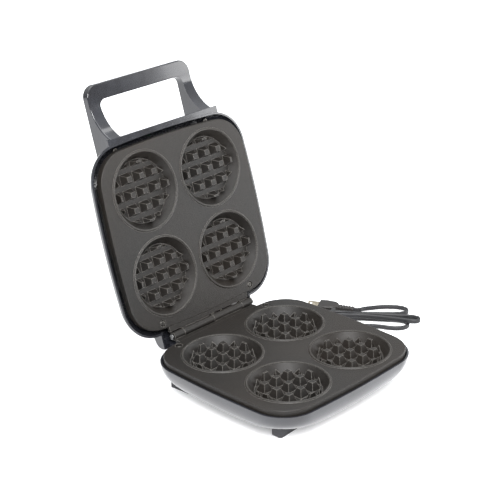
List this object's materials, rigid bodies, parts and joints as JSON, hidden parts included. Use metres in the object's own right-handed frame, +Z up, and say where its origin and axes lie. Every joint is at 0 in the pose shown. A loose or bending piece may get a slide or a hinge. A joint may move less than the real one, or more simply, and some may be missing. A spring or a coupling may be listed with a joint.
{
  "type": "mini waffle maker",
  "caption": "Clamshell waffle maker with round waffle cups in two hinged cast plates, gloss black shells, U-shaped lid handle, wedge feet and a folded mains cord.",
  "frame": {"origin": "bottom centre of the bounding box of the appliance standing open, without its cord, on the surface that its feet rest on", "axes": "+Z up, +Y towards the hinge at the back, +X to the right of a user facing the front"},
  "size_m": [0.397, 0.3682, 0.3516],
  "materials": {
    "nonstick_cast": "dark non-stick coating on cast aluminium, fine orange peel, satin",
    "gloss_black": "polished black",
    "matte_black": "fine spark texture",
    "cord_black": "satin PVC",
    "plug_black": "satin PVC",
    "screw_steel": "plated",
    "pin_steel": "dark plated",
    "element_steel": "heat-darkened sheath",
    "reflector_aluminium": "bright rolled sheet",
    "switch_body": "brown phenolic with bright cap",
    "ceramic_white": "glazed",
    "lead_sleeve": "varnished glass-fibre sleeve",
    "blade_brass": "nickel-plated brass",
    "lens_red": "translucent red",
    "lens_green": "translucent green",
    "lamp_glass": "clear glass",
    "tie_wire": "paper-covered wire"
  },
  "bodies": {
    "base": {"lower_housing": "gloss_black", "lower_plate": "nonstick_cast", "lower_plate_screws": "screw_steel", "lower_heating_element": "element_steel", "lower_reflector": "reflector_aluminium", "lower_reflector_screws": "screw_steel", "thermostat": "switch_body", "thermal_fuse": "ceramic_white", "terminal_block": "ceramic_white", "base_leads": "lead_sleeve", "strain_relief": "cord_black", "foot_screws": "screw_steel", "hinge_pin": "pin_steel", "pin_clip": "screw_steel", "front_left_foot": "matte_black", "front_right_foot": "matte_black", "rear_left_foot": "matte_black", "rear_right_foot": "matte_black", "cord": "cord_black", "cord_hank": "cord_black", "cord_tie": "tie_wire", "plug_body": "plug_black", "plug_blades": "blade_brass"},
    "lid": {"upper_housing": "gloss_black", "upper_plate": "nonstick_cast", "upper_plate_screws": "screw_steel", "upper_heating_element": "element_steel", "upper_reflector": "reflector_aluminium", "upper_reflector_screws": "screw_steel", "handle": "gloss_black", "handle_screws": "screw_steel", "power_lamp_lens": "lens_red", "ready_lamp_lens": "lens_green", "lamp_bulbs": "lamp_glass", "lid_leads": "lead_sleeve"}
  },
  "joints": [
    {"name": "lid_hinge", "type": "hinge", "parent": "base", "child": "lid", "pos_m": [0, 0.05963, 0.0535], "axis": [1, 0, 0], "range_deg": [0, 105]}
  ]
}
